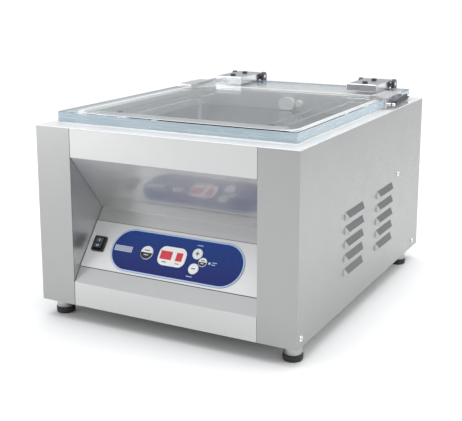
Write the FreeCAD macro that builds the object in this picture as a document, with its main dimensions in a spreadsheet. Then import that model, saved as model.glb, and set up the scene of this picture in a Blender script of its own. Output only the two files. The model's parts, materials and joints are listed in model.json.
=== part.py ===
import FreeCAD, Part
import math
import os
import re
import Sketcher
from FreeCAD import Placement, Rotation, Vector

# Countertop vacuum chamber sealer with a 300 mm seal bar.
# Frame: +X to the operator's right, +Y to the back, +Z up. The origin is on the table,
# under the middle of the cabinet. Lengths in millimetres, angles in degrees.

DRIVING = {
    # cabinet
    "body_width": 400, "body_depth": 520, "body_height": 255, "sheet": 1.5, "rear_inset": 1.6,
    "column_width": 57, "lip_height": 34, "seam": 0.4,
    # recessed control panel: the sloping face, and the ceiling above it
    "panel_tilt": 37.7, "panel_length": 117.6, "ceiling_tilt": 39.6,
    # feet
    "foot_height": 25, "foot_radius": 12.5, "foot_inset_side": 18, "foot_inset_front": 28,
    "foot_inset_back": 50, "rubber_height": 9,
    # louvres in the sides
    "louvre_length": 70, "louvre_height": 12.5, "louvre_proud": 5, "louvre_pitch": 20.2,
    "screw_radius": 1.9, "screw_length": 6,
    "louvre_low": 72.5, "louvre_front_column": -65, "louvre_back_column": 69,
    # chamber
    "chamber_width": 326, "chamber_front": 53, "chamber_length": 347, "chamber_depth": 90,
    "chamber_corner": 22, "flange": 11, "filler_height": 40, "product_height": 20,
    "plate_gap": 5, "plate_front_gap": 35, "port_offset": 4, "port_width": 28, "port_height": 20,
    # seal bar, its lift and its counter bar
    "bar_length": 300, "bar_width": 16, "bar_height": 18, "bar_gap": 6, "bar_drop": 14,
    "tape": 0.3, "wire_width": 3, "cylinder_radius": 13, "cylinder_height": 44,
    "piston_radius": 5, "cylinder_offset": 100, "running_gap": 0.05,
    # lid
    "lid_width": 368, "lid_front": 27, "lid_length": 471, "lid_thick": 15, "lid_gap": 1.5,
    "lid_corner": 4, "lid_chamfer": 1.2, "gasket_width": 8, "gasket_offset": 4, "gasket_depth": 2.7,
    "strip_offset": 120, "strip_width": 10, "strip_height": 8, "holder_height": 4, "silicone_height": 2.3,
    # hinges
    "hinge_offset": 123, "hinge_width": 50, "hinge_front": 168, "arm_thick": 12, "arm_behind": 8,
    "arm_chamfer": 0.8, "arm_screw_inset": 18, "axis_back": 250, "axis_height": 302.5, "pin_radius": 3,
    "ear_thick": 5, "ear_radius": 7.5, "ear_gap": 2, "fork_foot": 3,
    # lid springs, their brackets and posts
    "spring_line": 194, "spring_radius": 6, "spring_wire": 1.6, "spring_eye": 4,
    "spring_pin_radius": 2.5, "spring_front": 110, "spring_back": 188, "spring_low": 287,
    "spring_high": 291, "bracket_thick": 3, "bracket_inset": 24, "bracket_long": 76,
    # controls on the sloping face
    "plate_low": 25, "plate_high": 71, "plate_thick": 1.2, "overlay_width": 209,
    "overlay_height": 63, "overlay_thick": 0.8, "overlay_offset": 3, "control_line": 59.5,
    "key_proud": 0.7, "key_gap": 0.3, "bezel_width": 43, "bezel_height": 27.5, "bezel_corner": 10,
    "switch_width": 18.6, "switch_height": 20, "rocker_width": 13.6, "rocker_offset": -124,
    "rocker_line": 61, "rocker_rest": 7, "trunnion_radius": 1.5, "trunnion_reach": 8.2,
    # vacuum pump and motor, shaft along X
    "shaft_height": 101, "shaft_back": 90, "pump_left": -168, "pump_long": 118, "pump_wide": 124,
    "pump_top": 163, "hose_radius": 7, "hose_bend": 40, "inlet_top": 150, "motor_long": 165,
    "motor_radius": 62, "shaft_radius": 9, "rotor_radius": 42, "fan_radius": 52,
}

DECK_TOP = "(foot_height + body_height)"
DECK_UNDER = f"({DECK_TOP} - sheet)"
FRONT = "(-body_depth / 2)"
BACK = "(body_depth / 2)"
SIDE = "(body_width / 2)"
PANEL_HALF = f"({SIDE} - column_width)"
LIP_TOP = "(foot_height + lip_height)"
RIDGE_BACK = f"({FRONT} + panel_length * sin(panel_tilt))"
RIDGE_HEIGHT = f"({LIP_TOP} + panel_length * cos(panel_tilt))"
BAND_LOW = f"({RIDGE_HEIGHT} + panel_length * sin(panel_tilt) / tan(ceiling_tilt))"
CHAMBER_FRONT = f"({FRONT} + chamber_front)"
CHAMBER_BACK = f"({CHAMBER_FRONT} + chamber_length)"
CHAMBER_FLOOR = f"({DECK_TOP} - chamber_depth)"
PRODUCT_TOP = f"({CHAMBER_FLOOR} + filler_height + product_height)"
LID_LOW = f"({DECK_TOP} + lid_gap)"
LID_HIGH = f"({LID_LOW} + lid_thick)"
BAR_FRONT = f"({CHAMBER_FRONT} + bar_gap)"
BAR_MIDDLE = f"({BAR_FRONT} + bar_width / 2)"
BAR_TOP = f"({DECK_TOP} - bar_drop)"
TRAY_TOP = "(foot_height + sheet)"
REAR_FACE = f"({BACK} - rear_inset)"
PORT_HEIGHT = f"({PRODUCT_TOP} + port_height / 2 + 1)"
PAD_FACE = "(plate_thick + overlay_thick)"
FORK_HALF = "(hinge_width / 2 + ear_gap + ear_thick)"
LID_EDGE = "(lid_width / 2 + 0.4)"

doc = FreeCAD.newDocument("vacuum_chamber_sealer")
dims = doc.addObject("Spreadsheet::Sheet", "dims")
for row, (alias, value) in enumerate(DRIVING.items(), start=1):
    dims.set(f"A{row}", alias)
    dims.set(f"B{row}", str(value))
    dims.setAlias(f"B{row}", alias)
doc.recompute()

nodes = []


# ---- helpers -------------------------------------------------------------------------------

def bind(thing, prop, formula):
    """Ties a property to a formula whose words are aliases in the sheet."""
    def from_sheet(word):
        return f"dims.{word[0]}" if word[0] in DRIVING else word[0]
    thing.setExpression(prop, re.sub(r"[a-z_]+", from_sheet, str(formula)))


def put(thing, low, axis=Vector(0, 0, 1), angle="0"):
    """Moves a thing to a place given by three formulas, turned about an axis."""
    thing.Placement = Placement(Vector(), Rotation(axis, 1))
    bind(thing, "Placement.Rotation.Angle", angle)
    for letter, formula in zip("xyz", low):
        bind(thing, f"Placement.Base.{letter}", formula)
    return thing


def box(name, size, low):
    """Box from its three sizes and its low corner."""
    solid = doc.addObject("Part::Box", name)
    for prop, formula in zip(("Length", "Width", "Height"), size):
        bind(solid, prop, formula)
    return put(solid, low)


def rod(name, radius, length, start, along="z"):
    """Cylinder from the middle of its first end, along one axis."""
    solid = doc.addObject("Part::Cylinder", name)
    bind(solid, "Radius", radius)
    bind(solid, "Height", length)
    turns = {"x": (Vector(0, 1, 0), 90), "y": (Vector(-1, 0, 0), 90), "z": (Vector(0, 0, 1), 0)}
    axis, angle = turns[along]
    return put(solid, start, axis, angle)


def join(name, parts):
    """One solid from parts that run into each other."""
    solid = doc.addObject("Part::MultiFuse", name)
    solid.Shapes = parts
    solid.Refine = True
    return solid


def group(name, parts):
    """Separate solids kept in one sub-part."""
    together = doc.addObject("Part::Compound", name)
    together.Links = parts
    return together


def cut(name, base, tools):
    """Base with every tool taken out of it."""
    solid = doc.addObject("Part::Cut", name)
    solid.Base = base
    solid.Tool = tools[0] if len(tools) == 1 else join(name + "_tools", tools)
    return solid


def node(name, thing):
    """Makes a thing one of the assembly's sub-parts."""
    thing.Label = name
    nodes.append(thing)
    return thing


def sketch_on(body, role):
    """Empty sketch on one of the body's origin planes."""
    sketch = body.newObject("Sketcher::SketchObject", body.Name + "_sketch")
    plane = next(one for one in body.Origin.OriginFeatures if one.Role == role)
    sketch.AttachmentSupport = [(plane, "")]
    sketch.MapMode = "FlatFace"
    return sketch


def outline(sketch, points):
    """Closed polygon whose corners are pairs of formulas."""
    count = len(points)
    turn = 2 * math.pi / count
    ring = [Vector(math.cos(turn * i), math.sin(turn * i), 0) for i in range(count)]
    for i in range(count):
        sketch.addGeometry(Part.LineSegment(ring[i], ring[(i + 1) % count]))
    for i in range(count):
        sketch.addConstraint(Sketcher.Constraint("Coincident", i, 2, (i + 1) % count, 1))
    for i, point in enumerate(points):
        for kind, formula in zip(("DistanceX", "DistanceY"), point):
            index = sketch.addConstraint(Sketcher.Constraint(kind, -1, 1, i, 1, 1.0))
            bind(sketch, f"Constraints[{index}]", formula)


def plate(name, role, points, length, midplane=False):
    """Pad of an outline drawn on an origin plane."""
    body = doc.addObject("PartDesign::Body", name)
    sketch = sketch_on(body, role)
    outline(sketch, points)
    pad = body.newObject("PartDesign::Pad", name + "_pad")
    pad.Profile = sketch
    pad.Midplane = midplane
    bind(pad, "Length", length)
    return body


def turned(name, profile):
    """Revolution about Z of a half outline given as radius and height formulas."""
    body = doc.addObject("PartDesign::Body", name)
    sketch = sketch_on(body, "XZ_Plane")
    outline(sketch, profile)
    spin = body.newObject("PartDesign::Revolution", name + "_spin")
    spin.Profile = sketch
    spin.ReferenceAxis = (sketch, ["V_Axis"])
    spin.Angle = 360
    return body


def round_edges(body, radius, direction):
    """Fillets the straight edges of the body's tip that run along one direction."""
    doc.recompute()
    tip = body.Tip
    chosen = []
    for index, edge in enumerate(tip.Shape.Edges, start=1):
        if edge.Curve.TypeId == "Part::GeomLine" and abs(edge.tangentAt(0).dot(direction)) > 0.999:
            chosen.append(f"Edge{index}")
    fillet = body.newObject("PartDesign::Fillet", body.Name + "_fillet")
    fillet.Base = (tip, chosen)
    bind(fillet, "Radius", radius)
    return body


def rounded(name, size, middle, radius):
    """Upright block with rounded vertical edges; middle is the centre of its bottom face."""
    half_x = f"({size[0]}) / 2"
    half_y = f"({size[1]}) / 2"
    corners = [(f"-{half_x}", f"-{half_y}"), (half_x, f"-{half_y}"),
               (half_x, half_y), (f"-{half_x}", half_y)]
    body = plate(name, "XY_Plane", corners, size[2])
    round_edges(body, radius, Vector(0, 0, 1))
    return put(body, middle)


def on_panel(thing, across, up, out, extra="0"):
    """Places a thing on the sloping face: across it, up it from the bend, and out of it."""
    back = f"{FRONT} + ({up}) * sin(panel_tilt) - ({out}) * cos(panel_tilt)"
    height = f"{LIP_TOP} + ({up}) * cos(panel_tilt) + ({out}) * sin(panel_tilt)"
    return put(thing, (across, back, height), Vector(1, 0, 0), f"90 - panel_tilt + {extra}")


def mirrored_pair(name, maker):
    """Left and right copies of a sub-part; maker takes a name and the side's sign."""
    for side, sign in (("left", -1), ("right", 1)):
        node(f"{name}_{side}", maker(f"{name}_{side}", sign))


def outward(side, start, width):
    """Low x of something that runs away from the middle, from start, on one side."""
    return start if side > 0 else f"-({start}) - ({width})"


# ---- cabinet -------------------------------------------------------------------------------

def screw_places():
    """Where each cabinet screw's head sits, and the axis and angle that turn its Z inward out."""
    places = []
    for side in (-1, 1):
        for y, z in ((135, 173), (230, 37), (-250, 38)):
            places.append(((f"{side} * {SIDE}", y, z), Vector(0, side, 0)))
    for x in (-190, 190):
        for z in (38, 262):
            places.append(((x, REAR_FACE, z), Vector(-1, 0, 0)))
    return places


def screw_holes():
    """Clearance for every cabinet screw, as one tool."""
    holes = []
    for index, (place, axis) in enumerate(screw_places()):
        hole = doc.addObject("Part::Cylinder", f"screw_hole_{index}")
        bind(hole, "Radius", "screw_radius + 0.05")
        bind(hole, "Height", "screw_length + 1")
        outward = {"x": place[0], "y": place[1], "z": place[2]}
        if axis.y:
            outward["x"] = f"{place[0]} - {axis.y} * (screw_length + 1)"
        else:
            outward["y"] = f"{place[1]} - (screw_length + 1)"
        holes.append(put(hole, (outward["x"], outward["y"], outward["z"]), axis, "90"))
    return join("screw_hole_tool", holes)


def panel_screws():
    """Button-head screws that hold the sides and the back sheet."""
    head = [("0", "-screw_length"), ("screw_radius", "-screw_length"), ("screw_radius", "0"),
            ("4.5", "0"), ("3.4", "rear_inset"), ("0", "rear_inset")]
    screws = [put(turned(f"panel_screw_{index}", head), place, axis, "90")
              for index, (place, axis) in enumerate(screw_places())]
    return group("panel_screw_group", screws)


def base_tray(screw_tool):
    """Floor of the cabinet, a shallow folded tray."""
    wide = "(body_width - 2 * sheet - 1)"
    deep = "(body_depth - 2 * sheet - rear_inset - 1)"
    rim = 20
    front = f"{FRONT} + sheet + 0.5"
    low = (f"-{wide} / 2", front, "foot_height")
    outer = box("tray_outer", (wide, deep, rim), low)
    inner_size = (f"{wide} - 2 * sheet", f"{deep} - 2 * sheet", rim)
    inner = box("tray_inner", inner_size, (f"-{wide} / 2 + sheet", f"{front} + sheet", TRAY_TOP))
    return cut("base_tray_cut", outer, [inner, screw_tool])


def louvre(name, side, middle, low, inset):
    """Hood pressed out of a side sheet, open below; inset makes the hollow inside it."""
    hood = doc.addObject("Part::Wedge", name)
    half = f"(louvre_length / 2 - {inset})"
    bind(hood, "Xmin", f"-{half}")
    bind(hood, "Xmax", half)
    bind(hood, "X2min", f"-{half} + louvre_proud")
    bind(hood, "X2max", f"{half} - louvre_proud")
    bind(hood, "Ymin", 0)
    bind(hood, "Ymax", f"louvre_proud - {inset}")
    bind(hood, "Zmin", f"-{inset}")
    bind(hood, "Z2min", f"-{inset}")
    bind(hood, "Zmax", f"louvre_height - {inset}")
    bind(hood, "Z2max", f"louvre_height * 0.3 - {inset} / 2")
    return put(hood, (f"{side} * {SIDE}", middle, low), Vector(0, 0, side), "-90")


def side_panel(name, side, screw_tool):
    """Side sheet folded round the front corner, so that it makes the front column too."""
    def corner(x, y):
        return (f"{side} * ({x})", y)
    inner = f"{SIDE} - sheet"
    column = f"{PANEL_HALF} + seam"
    profile = [corner(SIDE, FRONT), corner(SIDE, BACK), corner(inner, BACK),
               corner(inner, f"{FRONT} + sheet"), corner(column, f"{FRONT} + sheet"), corner(column, FRONT)]
    sheet = plate(name + "_sheet", "XY_Plane", profile, "body_height - sheet")
    put(sheet, ("0", "0", "foot_height"))
    hoods = []
    hollows = []
    for column_name, middle in (("front", "louvre_front_column"), ("back", "louvre_back_column")):
        for step in range(5):
            low = f"louvre_low + {step} * louvre_pitch"
            title = f"{name}_{column_name}_{step}"
            hoods.append(louvre(title + "_hood", side, middle, low, 0))
            hollow = louvre(title + "_hollow", side, middle, low, 1.2)
            slot = box(title + "_slot", ("2 * sheet", "louvre_length - 2.4", "louvre_height - 1.2"),
                       (f"{side} * ({SIDE} - sheet) - sheet", f"{middle} - louvre_length / 2 + 1.2", low))
            hollows += [hollow, slot]
    return cut(name + "_cut", join(name + "_pressed", [sheet] + hoods), hollows + [screw_tool])


def switch_hole(name, depth):
    """Clearance for the body of the power switch, as deep in front of the sheet as behind it."""
    hole = box(name + "_switch_hole", ("switch_width + 0.4", "switch_height + 0.4", depth), ("0", "0", "0"))
    return on_panel(hole, "rocker_offset - switch_width / 2 - 0.2",
                    "rocker_line - switch_height / 2 - 0.2", -depth / 2)


def front_panel():
    """One bent sheet: band under the deck, ceiling, sloping face and bottom lip."""
    turn = "(panel_tilt + ceiling_tilt) / 2"
    lean = "(ceiling_tilt - panel_tilt) / 2"
    profile = [
        (FRONT, "foot_height"), (FRONT, LIP_TOP), (RIDGE_BACK, RIDGE_HEIGHT), (FRONT, BAND_LOW),
        (FRONT, DECK_UNDER), (f"{FRONT} + sheet", DECK_UNDER),
        (f"{FRONT} + sheet", f"{BAND_LOW} + sheet * tan(ceiling_tilt / 2)"),
        (f"{RIDGE_BACK} + sheet * cos({lean}) / cos({turn})",
         f"{RIDGE_HEIGHT} + sheet * sin({lean}) / cos({turn})"),
        (f"{FRONT} + sheet", f"{LIP_TOP} - sheet * tan(panel_tilt / 2)"),
        (f"{FRONT} + sheet", "foot_height")]
    sheet = plate("front_sheet", "YZ_Plane", profile, f"2 * {PANEL_HALF}", midplane=True)
    window = box("front_window", (164, 52, 12), ("0", "0", "0"))
    on_panel(window, "overlay_offset - 82", "control_line - 26", "-6")
    return cut("front_panel_cut", sheet, [window, switch_hole("front", 12)])


def recess_cheek(name, side):
    """Triangular sheet that closes one end of the recess, behind the column."""
    profile = [(f"{FRONT} + sheet", f"{LIP_TOP} - 6"), (f"{RIDGE_BACK} + 6", RIDGE_HEIGHT),
               (f"{FRONT} + sheet", f"{BAND_LOW} + 6")]
    sheet = plate(name + "_sheet", "YZ_Plane", profile, "sheet")
    return put(sheet, (outward(side, f"{PANEL_HALF} + seam", "sheet"), "0", "0"))


def rear_panel(screw_tool):
    """Back sheet between the sides, with two rows of air slots and the hole for the mains inlet."""
    wide = "(body_width - 2 * sheet - 2 * seam)"
    sheet = box("rear_sheet", (wide, "sheet", "body_height - sheet"),
                (f"-{wide} / 2", f"{REAR_FACE} - sheet", "foot_height"))
    tools = [box("rear_inlet_hole", (28, 6, 21), ("-154", f"{BACK} - 6", "60")), screw_tool]
    for row_index in range(2):
        for step in range(9):
            left = -60 + 20 * step
            height = 110 + 50 * row_index
            tools.append(box(f"rear_slot_{row_index}_{step}", (8, 6, 36), (left, f"{BACK} - 6", height)))
    return cut("rear_panel_cut", sheet, tools)


def deck_plate():
    """Top sheet with the rounded chamber opening."""
    sheet = box("deck_sheet", ("body_width", "body_depth", "sheet"), (f"-{SIDE}", FRONT, DECK_UNDER))
    middle = ("0", f"{CHAMBER_FRONT} + chamber_length / 2", f"{DECK_UNDER} - sheet")
    size = ("chamber_width", "chamber_length", "4 * sheet")
    opening = rounded("deck_opening", size, middle, "chamber_corner")
    return cut("deck_plate_cut", sheet, [opening])


def cabinet():
    screw_tool = screw_holes()
    node("base_tray", base_tray(screw_tool))
    mirrored_pair("side_panel", lambda name, side: side_panel(name, side, screw_tool))
    mirrored_pair("recess_cheek", recess_cheek)
    node("front_panel", front_panel())
    node("rear_panel", rear_panel(screw_tool))
    node("deck_plate", deck_plate())
    node("panel_screws", panel_screws())


# ---- feet ----------------------------------------------------------------------------------

def feet():
    """Four steel sleeves, each standing on a rubber foot with a bolt up into the tray."""
    sleeve = [("4.1", "rubber_height"), ("foot_radius", "rubber_height"),
              ("foot_radius", "foot_height - 1"), ("foot_radius - 1", "foot_height"), ("4.1", "foot_height")]
    rubber = [("0", "0"), ("foot_radius", "0"), ("foot_radius + 1", "2"),
              ("foot_radius + 1", "rubber_height - 1"), ("foot_radius", "rubber_height"),
              ("4", "rubber_height"), ("4", "foot_height - 1"), ("0", "foot_height - 1")]
    ends = (("front", f"{FRONT} + foot_inset_front"), ("back", f"{BACK} - foot_inset_back"))
    sleeves = []
    rubbers = []
    for side_name, side in (("left", -1), ("right", 1)):
        for end_name, y in ends:
            place = (f"{side} * ({SIDE} - foot_inset_side)", y, "0")
            sleeves.append(put(turned(f"sleeve_{end_name}_{side_name}", sleeve), place))
            rubbers.append(put(turned(f"rubber_{end_name}_{side_name}", rubber), place))
    node("foot_sleeves", group("foot_sleeve_group", sleeves))
    node("foot_rubbers", group("foot_rubber_group", rubbers))


# ---- chamber -------------------------------------------------------------------------------

def chamber_tub():
    """Vacuum chamber: a seamless vessel hung from the deck by its flange."""
    middle_y = f"{CHAMBER_FRONT} + chamber_length / 2"
    flange_size = ("chamber_width + 2 * flange", "chamber_length + 2 * flange", "sheet")
    brim = rounded("tub_flange", flange_size, ("0", middle_y, f"{DECK_UNDER} - sheet"),
                   "chamber_corner + flange")
    outer_size = ("chamber_width + 2 * sheet", "chamber_length + 2 * sheet", "chamber_depth - sheet")
    outer = rounded("tub_outer", outer_size, ("0", middle_y, f"{CHAMBER_FLOOR} - sheet"),
                    "chamber_corner + sheet")
    inner_size = ("chamber_width", "chamber_length", "chamber_depth")
    inner = rounded("tub_inner", inner_size, ("0", middle_y, CHAMBER_FLOOR), "chamber_corner")
    port = rod("tub_port", 6, 12, ("port_offset", f"{CHAMBER_BACK} - 5", PORT_HEIGHT), "y")
    return cut("chamber_tub_cut", join("tub_shell", [brim, outer]), [inner, port])


def filler_plate():
    """Plastic block that takes up the bottom of the chamber, with two finger holes."""
    depth = "(chamber_length - plate_front_gap - plate_gap)"
    middle = ("0", f"{CHAMBER_FRONT} + plate_front_gap + {depth} / 2", CHAMBER_FLOOR)
    block = rounded("filler_block", ("chamber_width - 2 * plate_gap", depth, "filler_height"), middle, 16)
    holes = [rod(f"filler_hole_{side}", 13, "filler_height + 2", (110 * side, -20, f"{CHAMBER_FLOOR} - 1"))
             for side in (-1, 1)]
    return cut("filler_plate_cut", block, holes)


def product_plate():
    """Polished steel tray, open below, that the bag lies on."""
    depth = "(chamber_length - plate_front_gap - plate_gap)"
    middle_y = f"{CHAMBER_FRONT} + plate_front_gap + {depth} / 2"
    low = f"{CHAMBER_FLOOR} + filler_height"
    width = "(chamber_width - 2 * plate_gap)"
    outer = rounded("product_outer", (width, depth, "product_height"), ("0", middle_y, low), 16)
    inner_size = (f"{width} - 2 * sheet", f"{depth} - 2 * sheet", "product_height")
    inner = rounded("product_inner", inner_size, ("0", middle_y, f"{low} - sheet"), 14.5)
    return cut("product_plate_cut", outer, [inner])


def suction_cap():
    """Oval cap over the suction port on the back wall, with its two screws."""
    size = ("port_width", "port_height", 6)
    cap = rounded("cap_block", size, ("0", "0", "0"), "port_height / 2 - 0.1")
    put(cap, ("port_offset", CHAMBER_BACK, PORT_HEIGHT), Vector(1, 0, 0), "90")
    heads = []
    for side in (-1, 1):
        start = (f"port_offset + {5 * side}", f"{CHAMBER_BACK} - 7", PORT_HEIGHT)
        heads.append(rod(f"cap_head_{side}", 2.2, 2, start, "y"))
    sensor = turned("sensor_cap_body", [("0", "0"), ("6", "0"), ("6", "3"), ("4.5", "5"), ("0", "5")])
    sensor_place = ("port_offset + port_width / 2 + 8", CHAMBER_BACK, f"{PORT_HEIGHT} + 1")
    put(sensor, sensor_place, Vector(1, 0, 0), "90")
    node("suction_port_cap", join("suction_cap_joined", [cap] + heads))
    node("sensor_port_cap", sensor)


def seal_bar():
    """Heated bar, its band and tape, and the two pistons that lift it."""
    bar_low = f"{BAR_TOP} - bar_height"
    left = "(-bar_length / 2)"
    bar = box("seal_bar_block", ("bar_length", "bar_width", "bar_height"), (left, BAR_FRONT, bar_low))
    wire = box("seal_wire_band", ("bar_length - 8", "wire_width", "tape"),
               (f"{left} + 4", f"{BAR_MIDDLE} - wire_width / 2", BAR_TOP))
    tape_outer = box("tape_outer", ("bar_length - 2", "bar_width + 2 * tape", "8 + 2 * tape"),
                     (f"{left} + 1", f"{BAR_FRONT} - tape", f"{BAR_TOP} - 8"))
    tape_inner = box("tape_inner", ("bar_length + 2", "bar_width", "8 + tape"),
                     (f"{left} - 1", BAR_FRONT, f"{BAR_TOP} - 8"))
    node("seal_bar", bar)
    node("seal_wire", wire)
    node("seal_tape", cut("seal_tape_cut", tape_outer, [tape_inner]))
    cylinders = []
    pistons = []
    for side in (-1, 1):
        x = f"{side} * cylinder_offset"
        body = rod(f"cylinder_body_{side}", "cylinder_radius", "cylinder_height",
                   (x, BAR_MIDDLE, CHAMBER_FLOOR))
        bore = rod(f"cylinder_bore_{side}", "piston_radius + running_gap", "cylinder_height",
                   (x, BAR_MIDDLE, f"{CHAMBER_FLOOR} + 5"))
        cylinders.append(cut(f"cylinder_{side}", body, [bore]))
        start = f"({CHAMBER_FLOOR} + 8)"
        pistons.append(rod(f"piston_{side}", "piston_radius", f"{bar_low} - {start}", (x, BAR_MIDDLE, start)))
    node("lift_cylinders", group("cylinder_group", cylinders))
    node("lift_pistons", group("piston_group", pistons))


def chamber():
    node("chamber_tub", chamber_tub())
    node("filler_plate", filler_plate())
    node("product_plate", product_plate())
    suction_cap()
    seal_bar()


# ---- lid -----------------------------------------------------------------------------------

def ring(name, inset, width, low, height):
    """Rounded rectangular ring that follows the chamber opening from outside."""
    middle = ("0", f"{CHAMBER_FRONT} + chamber_length / 2", low)
    far = f"({inset} + {width})"
    outer_size = (f"chamber_width + 2 * {far}", f"chamber_length + 2 * {far}", height)
    inner_size = (f"chamber_width + 2 * ({inset})", f"chamber_length + 2 * ({inset})", height)
    outer = rounded(name + "_outer", outer_size, middle, f"chamber_corner + {far}")
    inner = rounded(name + "_inner", inner_size, middle, f"chamber_corner + {inset}")
    return cut(name + "_ring", outer, [inner])


def chamfer_top(body, size):
    """Chamfers the edges of the body's highest face."""
    doc.recompute()
    tip = body.Tip
    top = max(tip.Shape.Faces, key=lambda face: face.CenterOfMass.z)
    names = [f"Edge{index}" for index, edge in enumerate(tip.Shape.Edges, start=1)
             if any(edge.isSame(other) for other in top.Edges)]
    chamfer = body.newObject("PartDesign::Chamfer", body.Name + "_chamfer")
    chamfer.Base = (tip, names)
    bind(chamfer, "Size", size)
    return body


def lid_panel():
    """Thick clear slab with a groove underneath for its gasket."""
    middle = ("0", f"{FRONT} + lid_front + lid_length / 2", LID_LOW)
    slab = rounded("lid_slab", ("lid_width", "lid_length", "lid_thick"), middle, "lid_corner")
    chamfer_top(slab, "lid_chamfer")
    groove = ring("lid_groove", "gasket_offset - 0.2", "(gasket_width + 0.4)", LID_LOW, "gasket_depth")
    return cut("lid_panel_cut", slab, [groove])


def counter_bar():
    """Holder and silicone strip under the lid, which the bag is sealed against."""
    holder_low = f"({LID_LOW} - holder_height)"
    holder = box("counter_holder", ("bar_length + 4", "bar_width + 4", "holder_height"),
                 ("-bar_length / 2 - 2", f"{BAR_FRONT} - 2", holder_low))
    strip = box("counter_strip", ("bar_length", "bar_width - 2", "silicone_height"),
                ("-bar_length / 2", f"{BAR_FRONT} + 1", f"{holder_low} - silicone_height"))
    node("counter_bar_holder", holder)
    node("counter_bar_silicone", strip)


def lid_strips():
    """Two clear stiffening strips bonded under the lid, front to back."""
    start = f"({CHAMBER_FRONT} + plate_front_gap + 2)"
    size = ("strip_width", f"{CHAMBER_BACK} - 12 - {start}", "strip_height")
    strips = []
    for side in (-1, 1):
        low = (f"{side} * strip_offset - strip_width / 2", start, f"{LID_LOW} - strip_height")
        strips.append(box(f"lid_strip_{side}", size, low))
    return group("lid_strip_group", strips)


def hinge_arm(name, side):
    """Hinge block screwed flat on the lid, bored for the hinge pin at its back."""
    left = f"({side} * hinge_offset - hinge_width / 2)"
    long = "(axis_back + arm_behind - hinge_front)"
    corners = [("0", "0"), ("hinge_width", "0"), ("hinge_width", long), ("0", long)]
    block = chamfer_top(plate(name + "_block", "XY_Plane", corners, "arm_thick"), "arm_chamfer")
    put(block, (left, "hinge_front", LID_HIGH))
    bore = rod(name + "_bore", "pin_radius + running_gap", "hinge_width + 4",
               (f"{left} - 2", "axis_back", "axis_height"), "x")
    return cut(name + "_cut", block, [bore])


def hinge_screws():
    """Socket-head screws, two in each hinge block."""
    high = f"{LID_HIGH} + arm_thick"
    screws = []
    for side in (-1, 1):
        middle = f"{side} * hinge_offset"
        for end, y in (("front", "hinge_front + arm_screw_inset"), ("back", "axis_back - arm_screw_inset")):
            title = f"hinge_screw_{side}_{end}"
            head = rod(title + "_head", 4.5, 3, (middle, y, high))
            socket = rod(title + "_socket", 2, 3, (middle, y, f"{high} + 1.4"))
            screws.append(cut(title, head, [socket]))
    return group("hinge_screw_group", screws)


def hinge_bracket(name, side):
    """Fixed fork on the deck: a foot and two rounded ears that hold the hinge pin."""
    left = f"({side} * hinge_offset - {FORK_HALF})"
    front = "(axis_back - ear_radius)"
    parts = [box(name + "_foot", (f"2 * {FORK_HALF}", "2 * ear_radius", "fork_foot"),
                 (left, front, DECK_TOP))]
    stem = ("ear_thick", "2 * ear_radius", f"axis_height - {DECK_TOP}")
    for end, x in (("outer", left), ("inner", f"{left} + 2 * {FORK_HALF} - ear_thick")):
        parts.append(box(f"{name}_{end}_stem", stem, (x, front, DECK_TOP)))
        middle = (x, "axis_back", "axis_height")
        parts.append(rod(f"{name}_{end}_round", "ear_radius", "ear_thick", middle, "x"))
    bore = rod(name + "_bore", "pin_radius", f"2 * {FORK_HALF} + 2",
               (f"{left} - 1", "axis_back", "axis_height"), "x")
    return cut(name + "_cut", join(name + "_fork", parts), [bore])


def hinge_pins():
    """The pins held in the forks' ears."""
    pins = []
    for side in (-1, 1):
        start = (f"{side} * hinge_offset - {FORK_HALF}", "axis_back", "axis_height")
        pins.append(rod(f"hinge_pin_{side}", "pin_radius", f"2 * {FORK_HALF}", start, "x"))
    return group("hinge_pin_group", pins)


def spring_pin(title, side, y, height):
    """Short pin that stands out beside the lid for a spring's eye."""
    long = f"(spring_line + 5 - {LID_EDGE})"
    return rod(title + "_pin", "spring_pin_radius", long, (outward(side, LID_EDGE, long), y, height), "x")


def spring_bracket(side):
    """Flat plate on the lid's edge, with a tab folded down and the spring's front pin."""
    title = f"spring_bracket_{side}"
    front = "(spring_front - 8)"
    wide = "(bracket_inset + bracket_thick)"
    top = box(title + "_top", (wide, "bracket_long", "bracket_thick"),
              (outward(side, f"{LID_EDGE} - bracket_inset", wide), front, LID_HIGH))
    tab_low = "(spring_low - 6)"
    tab = box(title + "_tab", ("bracket_thick", 22, f"{LID_HIGH} + bracket_thick - {tab_low}"),
              (outward(side, LID_EDGE, "bracket_thick"), front, tab_low))
    return join(title, [top, tab, spring_pin(title, side, "spring_front", "spring_low")])


def spring_post(side):
    """Upright on the deck, beside the lid, with the spring's back pin."""
    title = f"spring_post_{side}"
    wide = 14
    front = f"spring_back - {wide / 2}"
    upright = box(title + "_upright", ("bracket_thick", wide, f"spring_high + 5 - {DECK_TOP}"),
                  (outward(side, LID_EDGE, "bracket_thick"), front, DECK_TOP))
    foot = box(title + "_foot", (wide, wide, "bracket_thick"),
               (outward(side, LID_EDGE, wide), front, DECK_TOP))
    return join(title, [upright, foot, spring_pin(title, side, "spring_back", "spring_high")])


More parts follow.
